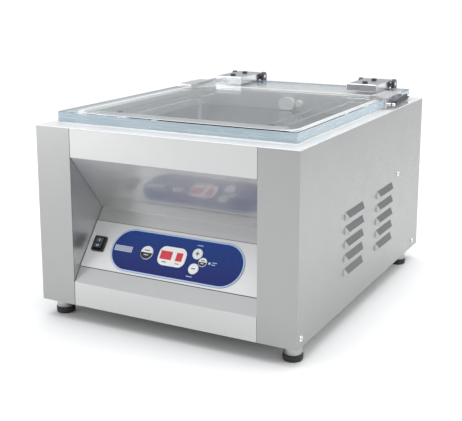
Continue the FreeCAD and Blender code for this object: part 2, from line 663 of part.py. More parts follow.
def lift_spring(name, side):
    """Extension spring as a close-wound tube with a flat eye at each end, from pin to pin."""
    rise = "atan((spring_high - spring_low) / (spring_back - spring_front))"
    span = "sqrt((spring_back - spring_front) ^ 2 + (spring_high - spring_low) ^ 2)"
    end_gap = "(2 * spring_eye)"
    wall = 2
    coil = rod(name + "_coil", "spring_radius", f"{span} - 2 * {end_gap}", ("0", "0", end_gap))
    hollow = rod(name + "_hollow", "spring_radius - spring_wire", f"{span} - 2 * {end_gap} - {2 * wall}",
                 ("0", "0", f"{end_gap} + {wall}"))
    parts = [cut(name + "_tube", coil, [hollow])]
    holes = []
    half = "spring_wire / 2"
    neck_size = ("spring_wire", "spring_wire", "spring_eye + 1")
    ends = (("front", "0", "spring_eye"), ("back", span, f"{span} - {end_gap} - 1"))
    for end, middle, neck_low in ends:
        title = f"{name}_{end}"
        parts.append(rod(title + "_eye", "spring_eye + 1", "spring_wire", (f"-{half}", "0", middle), "x"))
        parts.append(box(title + "_neck", neck_size, (f"-{half}", f"-{half}", neck_low)))
        holes.append(rod(title + "_hole", "spring_pin_radius + 0.4", "2 * spring_wire",
                         ("-spring_wire", "0", middle), "x"))
    whole = cut(name + "_whole", join(name + "_joined", parts), holes)
    low = (f"{side} * spring_line", "spring_front", "spring_low")
    return put(whole, low, Vector(-1, 0, 0), f"90 deg - {rise}")


def both(maker):
    """What maker gives for the left side and for the right side."""
    return [maker(side) for side in (-1, 1)]


def lid():
    node("lid_panel", lid_panel())
    gasket_height = f"{LID_LOW} + gasket_depth - {DECK_TOP}"
    node("lid_gasket", ring("lid_gasket", "gasket_offset", "gasket_width", DECK_TOP, gasket_height))
    counter_bar()
    node("lid_strips", lid_strips())
    mirrored_pair("hinge_arm", hinge_arm)
    node("hinge_screws", hinge_screws())
    mirrored_pair("hinge_bracket", hinge_bracket)
    node("hinge_pins", hinge_pins())
    node("spring_brackets", group("spring_bracket_group", both(spring_bracket)))
    node("spring_posts", group("spring_post_group", both(spring_post)))
    springs = both(lambda side: lift_spring(f"spring_{side}", side))
    node("lift_springs", group("lift_spring_group", springs))


# ---- controls ------------------------------------------------------------------------------

KEYS = {
    # name: across the panel, up the panel, radius
    "key_program": (-43, 59.5, 9.8),
    "key_plus": (34.6, 69.5, 7.6),
    "key_minus": (35.2, 47.9, 7.6),
    "key_start": (45.8, 59, 6.4),
}


def key_holes(name, low, high):
    """Clearance holes for the keys."""
    holes = []
    for key, (across, up, radius) in KEYS.items():
        hole = rod(f"{name}_{key}_hole", f"{radius} + key_gap", high - low, ("0", "0", "0"))
        holes.append(on_panel(hole, across, up, low))
    return holes


def control_plate():
    """Flat metal plate across the whole sloping face."""
    width = f"2 * ({PANEL_HALF}) - 2 * seam"
    blank = box("control_blank", (width, "plate_high", "plate_thick"), ("0", "0", "0"))
    on_panel(blank, f"-({width}) / 2", "plate_low", "0")
    return cut("control_plate_cut", blank, [switch_hole("control", 8)] + key_holes("control", -4, 4))


def keypad_overlay():
    """Printed pad with round ends, stuck on the plate."""
    half = "(overlay_height / 2)"
    size = ("overlay_width", "overlay_height", "overlay_thick")
    middle = rounded("overlay_blank", size, ("0", "0", "0"), f"{half} - 0.1")
    on_panel(middle, "overlay_offset", "control_line", "plate_thick")
    return cut("keypad_overlay_cut", middle, key_holes("overlay", -2, 6))


def display():
    """Bezel around the two number windows, and the windows in it."""
    windows = (("time", -11.5, 18.4), ("level", 9.2, 10.2))
    bezel = rounded("bezel_blank", ("bezel_width", "bezel_height", 0.9), ("0", "0", "0"), "bezel_corner")
    on_panel(bezel, -2, "control_line", PAD_FACE)
    holes = []
    glasses = []
    for title, across, wide in windows:
        hole = box(f"window_hole_{title}", (wide, 12.4, 4), ("0", "0", "0"))
        holes.append(on_panel(hole, across - wide / 2, "control_line + 0.8 - 6.2", f"{PAD_FACE} - 1"))
        glass = box(f"window_{title}", (wide - 0.2, 12.2, 0.7), ("0", "0", "0"))
        glasses.append(on_panel(glass, across - wide / 2 + 0.1, "control_line + 0.8 - 6.1", PAD_FACE))
    node("display_bezel", cut("display_bezel_cut", bezel, holes))
    node("display_windows", group("display_window_group", glasses))


def keys():
    """Four round keys, each on a short stem behind the pad."""
    for name, (across, up, radius) in KEYS.items():
        edge = 0.4
        profile = [("0", "-1"), (f"{radius}", "-1"), (f"{radius}", f"{PAD_FACE} + key_proud - {edge}"),
                   (f"{radius} - {edge}", f"{PAD_FACE} + key_proud"), ("0", f"{PAD_FACE} + key_proud")]
        node(name, on_panel(turned(name + "_cap", profile), across, up, "0"))


def power_switch():
    """Housing of the rocker switch with its cavity, and the rocker with its two trunnions."""
    flange = rounded("switch_flange", ("switch_width + 2.4", "switch_height + 3", 2), ("0", "0", "0"), 2.5)
    on_panel(flange, "rocker_offset", "rocker_line", "plate_thick")
    body = box("switch_body", ("switch_width", "switch_height", "18 + plate_thick + 1"), ("0", "0", "0"))
    on_panel(body, "rocker_offset - switch_width / 2", "rocker_line - switch_height / 2", "-18")
    cavity = box("switch_cavity", ("rocker_width + 0.8", 18.6, 24), ("0", "0", "0"))
    on_panel(cavity, "rocker_offset - rocker_width / 2 - 0.4", "rocker_line - 9.3", "-10")
    pivot_out = "(plate_thick - 1)"
    pivot_back = f"{FRONT} + rocker_line * sin(panel_tilt) - {pivot_out} * cos(panel_tilt)"
    pivot_height = f"{LIP_TOP} + rocker_line * cos(panel_tilt) + {pivot_out} * sin(panel_tilt)"
    bearing = rod("switch_bearing", "trunnion_radius + running_gap", "2 * trunnion_reach + 0.4",
                  ("rocker_offset - trunnion_reach - 0.2", pivot_back, pivot_height), "x")
    trunnions = rod("rocker_trunnions", "trunnion_radius", "2 * trunnion_reach",
                    ("rocker_offset - trunnion_reach", pivot_back, pivot_height), "x")
    solid = join("switch_solid", [flange, body])
    node("switch_housing", cut("switch_housing_cut", solid, [cavity, bearing]))
    profile = [("-8.4", "5.7"), ("0", "4.2"), ("8.4", "5.7"), ("7.4", "0.3"),
               ("2.5", "-4.2"), ("-2.5", "-4.2"), ("-7.4", "0.3")]
    rocker = plate("rocker_body", "YZ_Plane", profile, "rocker_width", midplane=True)
    on_panel(rocker, "rocker_offset", "rocker_line", pivot_out, extra="-rocker_rest")
    node("switch_rocker", join("switch_rocker_joined", [rocker, trunnions]))


def control_board():
    """Circuit board behind the pad, with its display module, relays and sensor."""
    board = box("board_sheet", (156, 74, 1.6), ("0", "0", "0"))
    on_panel(board, "overlay_offset - 78", "control_line - 37", -14)
    parts = [board]
    front, back = -12.6, -13.8
    relay = (19, 15, 15.5)
    blocks = (("display", (44, 18, 6), -24, 51, front), ("sensor", (20, 16, 10), -60, 70, back - 10),
              ("relay_one", relay, 40, 30, back - relay[2]), ("relay_two", relay, 16, 30, back - relay[2]))
    for title, size, across, up, out in blocks:
        parts.append(on_panel(box(f"board_{title}", size, ("0", "0", "0")), across, up, out))
    return join("control_board_joined", parts)


def controls():
    node("control_plate", control_plate())
    node("keypad_overlay", keypad_overlay())
    display()
    keys()
    power_switch()
    node("control_board", control_board())


# ---- pump, motor and electrics -----------------------------------------------------------------

PUMP_RIGHT = "(pump_left + pump_long)"
MOTOR_RIGHT = f"({PUMP_RIGHT} + motor_long)"
HOSE_LINE = f"({CHAMBER_BACK} + sheet + 27)"
HOSE_END = "(pump_left + pump_long * 0.75)"
VALVE_LEFT = "(port_offset - 8)"


def shaft_rod(name, radius, length, left):
    """Cylinder on the pump shaft's line."""
    return rod(name, radius, length, (left, "shaft_back", "shaft_height"), "x")


def pump():
    """Rotary vane pump block with its rotor bore, oil box glass and exhaust filter."""
    low_y = "shaft_back - pump_wide / 2"
    block = rounded("pump_block", ("pump_long", "pump_wide", f"pump_top - {TRAY_TOP}"),
                    ("pump_left + pump_long / 2", "shaft_back", TRAY_TOP), 10)
    inlet = box("pump_inlet", (30, 34, 22),
                (f"{HOSE_END} - 15", "shaft_back + pump_wide / 2 - 2", "inlet_top - 22"))
    bore = shaft_rod("pump_bore", "rotor_radius + 3", "pump_long - 30", "pump_left + 15")
    shaft_hole = shaft_rod("pump_shaft_hole", "shaft_radius + running_gap", 40, f"{PUMP_RIGHT} - 20")
    glass_hole = rod("pump_glass_hole", 10, 8, ("pump_left + 40", f"{low_y} - 1", "shaft_height - 48"), "y")
    solid = join("pump_solid", [block, inlet])
    node("pump_housing", cut("pump_housing_cut", solid, [bore, shaft_hole, glass_hole]))
    rotor = shaft_rod("rotor_body", "rotor_radius", "pump_long - 32", "pump_left + 16")
    rotor_hole = shaft_rod("rotor_hole", "shaft_radius", "pump_long", "pump_left + 45")
    node("pump_rotor", cut("pump_rotor_cut", rotor, [rotor_hole]))
    glass = rod("glass_disc", 9.9, 6, ("pump_left + 40", f"{low_y} - 0.5", "shaft_height - 48"), "y")
    node("oil_sight_glass", glass)
    filter_y = "shaft_back + pump_wide / 2"
    can = rod("filter_can", 24, 110, ("pump_left - 5", f"{filter_y} + 30", "shaft_height - 20"), "x")
    neck = rod("filter_neck", 10, 20, ("pump_left + 50", filter_y, "shaft_height - 20"), "y")
    node("exhaust_filter", join("exhaust_filter_joined", [can, neck]))


def motor():
    """Electric motor on the pump's end: finned case, shaft, fan and cowl."""
    case = shaft_rod("motor_case", "motor_radius - 6", "motor_long", PUMP_RIGHT)
    fins = [shaft_rod(f"motor_fin_{index}", "motor_radius", 2.5, f"{PUMP_RIGHT} + {14 + 8 * index}")
            for index in range(17)]
    feet_block = box("motor_feet", (90, 100, f"shaft_height - motor_radius + 12 - {TRAY_TOP}"),
                     (f"{PUMP_RIGHT} + 40", "shaft_back - 50", TRAY_TOP))
    bore = shaft_rod("motor_bore", "motor_radius - 18", "motor_long - 20", f"{PUMP_RIGHT} + 10")
    hole = shaft_rod("motor_shaft_hole", "shaft_radius + running_gap", "motor_long + 10",
                     f"{PUMP_RIGHT} - 5")
    solid = join("motor_solid", [case, feet_block] + fins)
    node("motor_housing", cut("motor_housing_cut", solid, [bore, hole]))
    shaft = shaft_rod("shaft_line", "shaft_radius", f"{MOTOR_RIGHT} + 24 - (pump_left + 45)",
                      "pump_left + 45")
    armature = shaft_rod("armature", "motor_radius - 19", "motor_long - 50", f"{PUMP_RIGHT} + 25")
    node("motor_shaft", join("motor_shaft_joined", [shaft, armature]))
    hub = shaft_rod("fan_hub", 16, 14, f"{MOTOR_RIGHT} + 6")
    blades = []
    root = 12
    for index in range(8):
        blade = box(f"fan_blade_{index}", (12, 2, f"fan_radius - {root}"), ("0", "0", "0"))
        turn = math.radians(45 * index)
        low = (f"{MOTOR_RIGHT} + 7", f"shaft_back - {root * math.sin(turn):.4f}",
               f"shaft_height + {root * math.cos(turn):.4f}")
        blades.append(put(blade, low, Vector(1, 0, 0), 45 * index + 0.001))
    hole = shaft_rod("fan_hole", "shaft_radius", 20, f"{MOTOR_RIGHT} + 4")
    node("cooling_fan", cut("cooling_fan_cut", join("fan_solid", [hub] + blades), [hole]))
    outer = shaft_rod("cowl_outer", "fan_radius + 6", 42, f"{MOTOR_RIGHT} - 10")
    inner = shaft_rod("cowl_inner", "fan_radius + 4.5", 40.5, f"{MOTOR_RIGHT} - 10")
    slots = []
    for index in range(7):
        low = (f"{MOTOR_RIGHT} + 28", "shaft_back - 35", f"shaft_height + {12 * index - 38}")
        slots.append(box(f"cowl_slot_{index}", (6, 70, 4), low))
    node("fan_cowl", cut("fan_cowl_cut", outer, [inner] + slots))


def electrics():
    """Transformer for the seal wire, mains inlet, and the two solenoid valves."""
    core = box("transformer_core", (78, 34, 66), ("-150", "-140", TRAY_TOP))
    coil = box("transformer_coil", (52, 62, 40), ("-137", "-154", f"{TRAY_TOP} + 13"))
    node("transformer", join("transformer_joined", [core, coil]))
    face = box("inlet_face", (48, "rear_inset", 24), ("-164", REAR_FACE, "58.5"))
    body = box("inlet_body", (27.6, 24, 20.6), ("-153.8", f"{REAR_FACE} - 23", "60.2"))
    socket = box("inlet_socket", (24, 18, 16.5), ("-152", f"{BACK} - 17", "62.2"))
    shell = cut("inlet_shell", join("inlet_solid", [face, body]), [socket])
    blades = []
    for index in range(3):
        low = (-148 + 7 * index, f"{BACK} - 18", 68.5 + 3 * (index % 2))
        blades.append(box(f"inlet_blade_{index}", (2, 12, 4), low))
    node("power_inlet", join("inlet_joined", [shell] + blades))
    valve = box("valve_body", (60, 26, 24), (VALVE_LEFT, f"{HOSE_LINE} - 13", f"{PRODUCT_TOP} - 6"))
    stub = rod("valve_stub", 5.9, 16, ("port_offset", CHAMBER_BACK, PORT_HEIGHT), "y")
    coils = []
    for index in range(2):
        start = (f"{VALVE_LEFT} + {14 + 30 * index}", HOSE_LINE, f"{PRODUCT_TOP} - 43")
        coils.append(rod(f"valve_coil_{index}", 11, 38, start))
    node("valve_block", join("valve_joined", [valve, stub] + coils))


def read(formula):
    """The present value of a formula, taken from the sheet."""
    cell = "C1"
    dims.set(cell, "=" + formula)
    doc.recompute()
    return float(dims.get(cell))


def vacuum_hose():
    """Hose from the valve block to the pump's inlet: two straight runs and an arc between them."""
    bend = read("hose_bend")
    start = Vector(read(VALVE_LEFT), read(HOSE_LINE), read(f"{PRODUCT_TOP} + 4"))
    end = Vector(read(HOSE_END), start.y, read("inlet_top"))
    arc_start = Vector(end.x + bend, start.y, start.z)
    arc_end = Vector(end.x, start.y, start.z - bend)
    inset = bend * (1 - math.sqrt(0.5))
    arc_middle = Vector(end.x + inset, start.y, start.z - inset)
    edges = [Part.LineSegment(start, arc_start).toShape(),
             Part.Arc(arc_start, arc_middle, arc_end).toShape(),
             Part.LineSegment(arc_end, end).toShape()]
    section = Part.Wire([Part.Circle(start, Vector(1, 0, 0), read("hose_radius")).toShape()])
    hose = doc.addObject("Part::Feature", "vacuum_hose_tube")
    hose.Shape = Part.Wire(edges).makePipeShell([section], True, False)
    return hose


def machinery():
    pump()
    motor()
    electrics()
    node("vacuum_hose", vacuum_hose())


# ---- build, check and write --------------------------------------------------------------------

def main():
    cabinet()
    feet()
    chamber()
    lid()
    controls()
    machinery()
    doc.recompute()
    for thing in doc.Objects:
        if "Invalid" in thing.State or "Error" in thing.State:
            raise RuntimeError(f"{thing.Name} failed: {thing.State}")
    os.makedirs("parts", exist_ok=True)
    for thing in nodes:
        shape = thing.Shape
        if shape.isNull() or not shape.isValid() or not shape.Solids:
            raise RuntimeError(f"{thing.Label} has no valid solid")
        shape.exportStep(f"parts/{thing.Label}.step")


main()
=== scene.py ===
import json
import math

import bmesh
import bpy
from mathutils import Matrix, Vector


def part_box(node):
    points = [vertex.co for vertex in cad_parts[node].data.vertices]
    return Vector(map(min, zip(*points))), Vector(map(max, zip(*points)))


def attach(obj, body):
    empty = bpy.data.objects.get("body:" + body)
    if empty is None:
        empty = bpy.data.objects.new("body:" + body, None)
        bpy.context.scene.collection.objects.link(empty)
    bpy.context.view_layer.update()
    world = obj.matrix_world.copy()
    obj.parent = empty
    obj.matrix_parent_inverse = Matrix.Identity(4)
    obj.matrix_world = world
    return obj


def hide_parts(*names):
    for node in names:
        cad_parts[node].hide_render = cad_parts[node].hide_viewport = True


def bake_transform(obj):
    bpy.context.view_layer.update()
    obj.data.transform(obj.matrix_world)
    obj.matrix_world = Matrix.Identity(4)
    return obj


# Countertop vacuum chamber sealer. Metres; +X right, +Y back, +Z up, origin on the table.

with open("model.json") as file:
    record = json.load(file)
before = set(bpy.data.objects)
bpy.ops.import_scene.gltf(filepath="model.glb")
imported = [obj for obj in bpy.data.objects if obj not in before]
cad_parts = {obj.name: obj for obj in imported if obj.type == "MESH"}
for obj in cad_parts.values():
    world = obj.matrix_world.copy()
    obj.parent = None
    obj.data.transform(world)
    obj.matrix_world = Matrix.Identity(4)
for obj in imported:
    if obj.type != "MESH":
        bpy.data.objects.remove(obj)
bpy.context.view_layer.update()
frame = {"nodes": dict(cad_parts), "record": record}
nodes = frame["nodes"]

# ---- sizes shared with the solid model ------------------------------------------------------

MM = 0.001
FRONT = -260 * MM
BACK = 260 * MM
SIDE = 200 * MM
LIP_TOP = 59 * MM
HINGE_LINE = 123 * MM

# the sloping control face: how far it leans, and places up the slope
PANEL_TILT = math.radians(37.7)
PLATE_LOW = 25 * MM
PLATE_HIGH = 96 * MM
CONTROL_LINE = 59.5 * MM

# how far each surface stands out of the slope
PAD_FACE = 2.0 * MM
BEZEL_FACE = 2.9 * MM
KEY_FACE = 2.7 * MM
WINDOW_FACE = 2.7 * MM

# the pad and its keys, each key as (across, up, radius) on the slope
PAD_ACROSS = 3 * MM
PAD_WIDTH = 208.6 * MM
PAD_HEIGHT = 62.6 * MM
KEY_PROGRAM = (-43 * MM, 59.5 * MM, 9.3 * MM)
KEY_START = (45.8 * MM, 59 * MM, 5.9 * MM)
KEY_PLUS = (34.6 * MM, 69.5 * MM)
KEY_MINUS = (35.2 * MM, 47.9 * MM)

# the power switch
ROCKER_ACROSS = -124 * MM
ROCKER_UP = 61 * MM
ROCKER_REST = 7.0

# the lift springs' pins, beside the lid
SPRING_LINE = 194 * MM
SPRING_FRONT_PIN = (110 * MM, 287 * MM)
SPRING_BACK_PIN = (188 * MM, 291 * MM)

# thickness of printed ink
INK = 0.05 * MM

# light of the surroundings, low down and overhead
HORIZON_LIGHT = 0.42
ZENITH_LIGHT = 0.8
OVERHEAD_LIGHT = 1.3

# ---- materials -------------------------------------------------------------------------------


class Graph:
    """One material's node tree, with short ways to add and join nodes."""

    def __init__(self, name):
        self.material = bpy.data.materials.new(name)
        self.material.use_nodes = True
        self.tree = self.material.node_tree
        self.shader = next(n for n in self.tree.nodes if n.type == "BSDF_PRINCIPLED")
        self.output = next(n for n in self.tree.nodes if n.type == "OUTPUT_MATERIAL")
        self.place = self.add("ShaderNodeTexCoord").outputs["Object"]

    def add(self, kind, **settings):
        node = self.tree.nodes.new(kind)
        for key, value in settings.items():
            setattr(node, key, value)
        return node

    def link(self, source, target):
        self.tree.links.new(source, target)

    def noise(self, scale, detail=4.0, roughness=0.55):
        """Noise between 0 and 1; scale is one number, or three to stretch it."""
        stretch = scale if isinstance(scale, tuple) else (scale, scale, scale)
        mapping = self.add("ShaderNodeMapping")
        mapping.inputs["Scale"].default_value = stretch
        self.link(self.place, mapping.inputs["Vector"])
        noise = self.add("ShaderNodeTexNoise")
        noise.inputs["Scale"].default_value = 1.0
        noise.inputs["Detail"].default_value = detail
        noise.inputs["Roughness"].default_value = roughness
        self.link(mapping.outputs["Vector"], noise.inputs["Vector"])
        return noise.outputs["Fac"]

    def between(self, factor, low, high, from_low=0.3, from_high=0.7):
        """Number between low and high as factor runs over its middle range."""
        spread = self.add("ShaderNodeMapRange")
        spread.inputs["From Min"].default_value = from_low
        spread.inputs["From Max"].default_value = from_high
        spread.inputs["To Min"].default_value = low
        spread.inputs["To Max"].default_value = high
        self.link(factor, spread.inputs["Value"])
        return spread.outputs["Result"]

    def colours(self, factor, first, second):
        """Colour between two as factor runs from 0 to 1."""
        mix = self.add("ShaderNodeMix", data_type="RGBA")
        mix.inputs["A"].default_value = (*first, 1.0)
        mix.inputs["B"].default_value = (*second, 1.0)
        self.link(factor, mix.inputs["Factor"])
        return mix.outputs["Result"]

    def times(self, first, second):
        product = self.add("ShaderNodeMath", operation="MULTIPLY")
        self.link(first, product.inputs[0])
        self.link(second, product.inputs[1])
        return product.outputs[0]

    def bump(self, height, depth, strength=1.0):
        bump = self.add("ShaderNodeBump")
        bump.inputs["Strength"].default_value = strength
        bump.inputs["Distance"].default_value = depth
        self.link(height, bump.inputs["Height"])
        self.link(bump.outputs["Normal"], self.shader.inputs["Normal"])

    def set(self, **values):
        for key, value in values.items():
            socket = self.shader.inputs[key.replace("_", " ")]
            socket.default_value = (*value, 1.0) if isinstance(value, tuple) else value

    def use(self, **sources):
        for key, source in sources.items():
            self.link(source, self.shader.inputs[key.replace("_", " ")])


def shade(colour, amount):
    """The colour made lighter or darker."""
    return tuple(min(1.0, channel * amount) for channel in colour)


def brushed_metal(name, colour, roughness, grain, along=12.0, streak=0.06, depth=0.00001, coat=0.0,
                  metallic=1.0):
    """Metal with fine parallel scratches, faint clouds and handling marks.

    grain is the number of scratches per metre along X, Y and Z; zero means along the scratches.
    """
    graph = Graph(name)
    stretch = tuple(count if count else along for count in grain)
    scratches = graph.noise(stretch, detail=5.0, roughness=0.65)
    clouds = graph.noise(7.0, detail=3.0)
    marks = graph.noise((28.0, 28.0, 40.0), detail=6.0, roughness=0.7)
    fine = graph.between(scratches, roughness * (1 - 3 * streak), roughness * (1 + 3 * streak))
    broad = graph.between(clouds, 0.92, 1.10)
    handled = graph.between(marks, 0.97, 1.16, 0.45, 0.75)
    tint = graph.colours(scratches, shade(colour, 1 - streak), shade(colour, 1 + streak))
    graph.use(Base_Color=tint, Roughness=graph.times(graph.times(fine, broad), handled))
    graph.set(Metallic=metallic, Coat_Weight=coat, Coat_Roughness=0.07, Coat_IOR=2.2)
    graph.bump(scratches, depth, 0.5)
    return graph.material


def cast_metal(name, colour, roughness, metallic, bumps=450.0, depth=0.00008):
    """Painted or bare casting: orange-peel skin with slightly worn, duller patches."""
    graph = Graph(name)
    skin = graph.noise(bumps, detail=3.0)
    patches = graph.noise(16.0, detail=5.0, roughness=0.65)
    graph.use(Base_Color=graph.colours(patches, shade(colour, 0.82), shade(colour, 1.15)),
              Roughness=graph.between(patches, roughness * 0.85, roughness * 1.25))
    graph.set(Metallic=metallic)
    graph.bump(skin, depth, 0.4)
    return graph.material


def moulded(name, colour, roughness, grain=900.0, depth=0.00003, coat=0.0, spread=0.06):
    """Plastic or rubber with a fine moulded texture and faint uneven gloss."""
    graph = Graph(name)
    texture = graph.noise(grain, detail=2.0)
    clouds = graph.noise(24.0, detail=4.0)
    graph.use(Base_Color=graph.colours(clouds, shade(colour, 1 - spread), shade(colour, 1 + spread)),
              Roughness=graph.between(clouds, roughness * 0.88, roughness * 1.15))
    graph.set(Metallic=0.0, Coat_Weight=coat, Coat_Roughness=0.12)
    graph.bump(texture, depth, 0.35)
    return graph.material


def clear_acrylic():
    """Cast acrylic: clear through its thickness and blue-green through its length.

    Lamps and soft bounced light pass straight through it, so that the chamber below is lit.
    """
    graph = Graph("clear_acrylic")
    wipe_marks = graph.noise((60.0, 9.0, 9.0), detail=6.0, roughness=0.7)
    graph.use(Roughness=graph.between(wipe_marks, 0.004, 0.03, 0.4, 0.8))
    graph.set(Base_Color=(1.0, 1.0, 1.0), Transmission_Weight=1.0, IOR=1.17)
    path = graph.add("ShaderNodeLightPath")
    surface = graph.shader.outputs["BSDF"]
    for kind in ("Is Shadow Ray", "Is Diffuse Ray"):
        passing = graph.add("ShaderNodeBsdfTransparent")
        choice = graph.add("ShaderNodeMixShader")
        graph.link(path.outputs[kind], choice.inputs["Fac"])
        graph.link(surface, choice.inputs[1])
        graph.link(passing.outputs["BSDF"], choice.inputs[2])
        surface = choice.outputs["Shader"]
    graph.link(surface, graph.output.inputs["Surface"])
    tint = graph.add("ShaderNodeVolumeAbsorption")
    tint.inputs["Color"].default_value = (0.25, 0.68, 0.82, 1.0)
    tint.inputs["Density"].default_value = 1.0
    graph.link(tint.outputs["Volume"], graph.output.inputs["Volume"])
    return graph.material


def sawn_acrylic():
    """Edge of the clear slab: flame-polished, so it looks milky blue-grey and only half clear."""
    graph = Graph("acrylic_edge")
    streaks = graph.noise((14.0, 14.0, 260.0), detail=4.0)
    graph.use(Base_Color=graph.colours(streaks, (0.31, 0.41, 0.48), (0.52, 0.61, 0.67)),
              Roughness=graph.between(streaks, 0.18, 0.34))
    graph.set(Transmission_Weight=0.15, IOR=1.40, Coat_Weight=0.5, Coat_Roughness=0.06)
    graph.bump(streaks, 0.00008, 0.4)
    return graph.material


def pad_film():
    """Printed film: deep blue with a painted sheen that makes it brighter towards the top edge, under a
    satin coat.
    """
    graph = Graph("pad_blue")
    split = graph.add("ShaderNodeSeparateXYZ")
    graph.link(graph.place, split.inputs["Vector"])
    low = LIP_TOP + 0.028 * math.cos(PANEL_TILT)
    high = LIP_TOP + 0.091 * math.cos(PANEL_TILT)
    # painted sheen: the blue is made lighter towards the top of the pad, by height on the slope
    rise = graph.between(split.outputs["Z"], 0.0, 1.0, low, high)
    graph.use(Base_Color=graph.colours(rise, (0.010, 0.014, 0.125), (0.006, 0.045, 0.24)))
    fine = graph.noise(1500.0, detail=2.0)
    graph.use(Roughness=graph.between(fine, 0.24, 0.34))
    graph.set(Coat_Weight=0.1, Coat_Roughness=0.15, Specular_IOR_Level=0.25)
    graph.bump(fine, 0.00001, 0.3)
    return graph.material


def woven_tape():
    """Brown coated glass cloth: a fine crossed weave under a waxy skin."""
    graph = Graph("ptfe_tape")
    warp = graph.noise((1800.0, 60.0, 60.0), detail=1.0)
    weft = graph.noise((60.0, 1800.0, 1800.0), detail=1.0)
    weave = graph.times(warp, weft)
    thread = graph.between(weave, 0.0, 1.0, 0.1, 0.4)
    graph.use(Base_Color=graph.colours(thread, (0.20, 0.12, 0.06), (0.36, 0.22, 0.12)),
              Roughness=graph.between(weave, 0.30, 0.48, 0.1, 0.4))
    graph.bump(weave, 0.00006, 0.6)
    return graph.material


def laminated(name, colour, pitch, axis):
    """Stack of thin sheets seen edge on."""
    graph = Graph(name)
    wave = graph.add("ShaderNodeTexWave", bands_direction=axis)
    wave.inputs["Scale"].default_value = pitch
    wave.inputs["Distortion"].default_value = 0.6
    graph.link(graph.place, wave.inputs["Vector"])
    graph.use(Base_Color=graph.colours(wave.outputs["Fac"], shade(colour, 0.6), shade(colour, 1.2)))
    graph.use(Roughness=graph.between(graph.noise(60.0), 0.4, 0.6))
    graph.set(Metallic=0.7)
    graph.bump(wave.outputs["Fac"], 0.0001, 0.5)
    return graph.material


def glow(name, colour, strength, roughness=0.25):
    """Tinted window or lamp that gives a little light of its own; on the display windows and the unlit
    segments that light is a painted glow.
    """
    graph = Graph(name)
    speckle = graph.noise(700.0, detail=2.0)
    tint = graph.colours(speckle, shade(colour, 0.85), shade(colour, 1.1))
    graph.use(Base_Color=tint, Emission_Color=tint,
              Roughness=graph.between(speckle, roughness * 0.8, roughness * 1.3))
    graph.set(Emission_Strength=strength, Coat_Weight=0.4)
    return graph.material


def ink(name, colour, roughness=0.42):
    """Screen-printed ink with a slightly uneven edge of tone."""
    graph = Graph(name)
    tone = graph.noise(380.0, detail=3.0)
    graph.use(Base_Color=graph.colours(tone, shade(colour, 0.93), shade(colour, 1.05)),
              Roughness=graph.between(tone, roughness * 0.85, roughness * 1.15))
    graph.bump(tone, 0.00001, 0.3)
    return graph.material


MATERIALS = {
    "stainless_sheet": brushed_metal("stainless_side", (0.37, 0.37, 0.37), 0.30, (0, 0, 1300),
                                     streak=0.025, depth=0.000003),
    "control_steel": brushed_metal("control_steel", (0.76, 0.76, 0.76), 0.40, (0, 1300, 1300),
                                   streak=0.03, metallic=0.5),
    # polished_steel is far darker and bluer than bare steel: painted shade and painted reflection for
    # the dark chamber floor
    "polished_steel": brushed_metal("polished_steel", (0.17, 0.19, 0.21), 0.06, (0, 900, 900),
                                    streak=0.03, depth=0.000002),
    "bright_steel": brushed_metal("bright_steel", (0.80, 0.80, 0.80), 0.26, (0, 0, 1800), metallic=0.8),
    "dark_screw": cast_metal("dark_screw", (0.06, 0.06, 0.065), 0.32, 0.8),
    "spring_steel": brushed_metal("spring_steel", (0.16, 0.16, 0.17), 0.30, (2200, 900, 900)),
    "foot_rubber": moulded("foot_rubber", (0.022, 0.022, 0.022), 0.62),
    "clear_acrylic": clear_acrylic(),
    "white_silicone": moulded("white_silicone", (0.82, 0.82, 0.80), 0.45),
    "hinge_aluminium": brushed_metal("hinge_aluminium", (0.80, 0.81, 0.84), 0.22, (1500, 0, 1500),
                                     streak=0.03, depth=0.000004),
    "bar_aluminium": brushed_metal("bar_aluminium", (0.76, 0.76, 0.77), 0.30, (0, 1500, 1500)),
    "fork_paint": cast_metal("fork_paint", (0.05, 0.05, 0.06), 0.38, 0.2),
    "seal_band": brushed_metal("seal_band", (0.58, 0.55, 0.52), 0.32, (0, 2500, 2500)),
    "ptfe_tape": woven_tape(),
    "red_silicone": moulded("red_silicone", (0.42, 0.10, 0.06), 0.50),
    "white_plastic": moulded("white_plastic", (0.86, 0.86, 0.85), 0.36, coat=0.1),
    "pad_blue": pad_film(),
    # display_red glows a little though the figures behind it are unlit: painted glow
    "display_red": glow("display_red", (0.62, 0.035, 0.06), 0.12),
    "key_plastic": moulded("key_plastic", (0.82, 0.83, 0.85), 0.30, coat=0.3),
    "black_plastic": moulded("black_plastic", (0.018, 0.019, 0.022), 0.34),
    "circuit_board": moulded("circuit_board", (0.02, 0.16, 0.07), 0.35),
    "pump_iron": cast_metal("pump_iron", (0.20, 0.22, 0.25), 0.48, 0.2),
    "motor_paint": cast_metal("motor_paint", (0.07, 0.14, 0.24), 0.40, 0.1),
    "shaft_steel": brushed_metal("shaft_steel", (0.70, 0.70, 0.70), 0.22, (1500, 0, 0)),
    "sight_glass": moulded("sight_glass", (0.60, 0.50, 0.22), 0.08, coat=0.8),
    "filter_paint": cast_metal("filter_paint", (0.03, 0.03, 0.03), 0.30, 0.1),
    "valve_brass": brushed_metal("valve_brass", (0.66, 0.49, 0.22), 0.30, (900, 0, 900)),
    "transformer_iron": laminated("transformer_iron", (0.26, 0.20, 0.15), 320.0, "X"),
    "hose_rubber": moulded("hose_rubber", (0.03, 0.03, 0.03), 0.50),
}
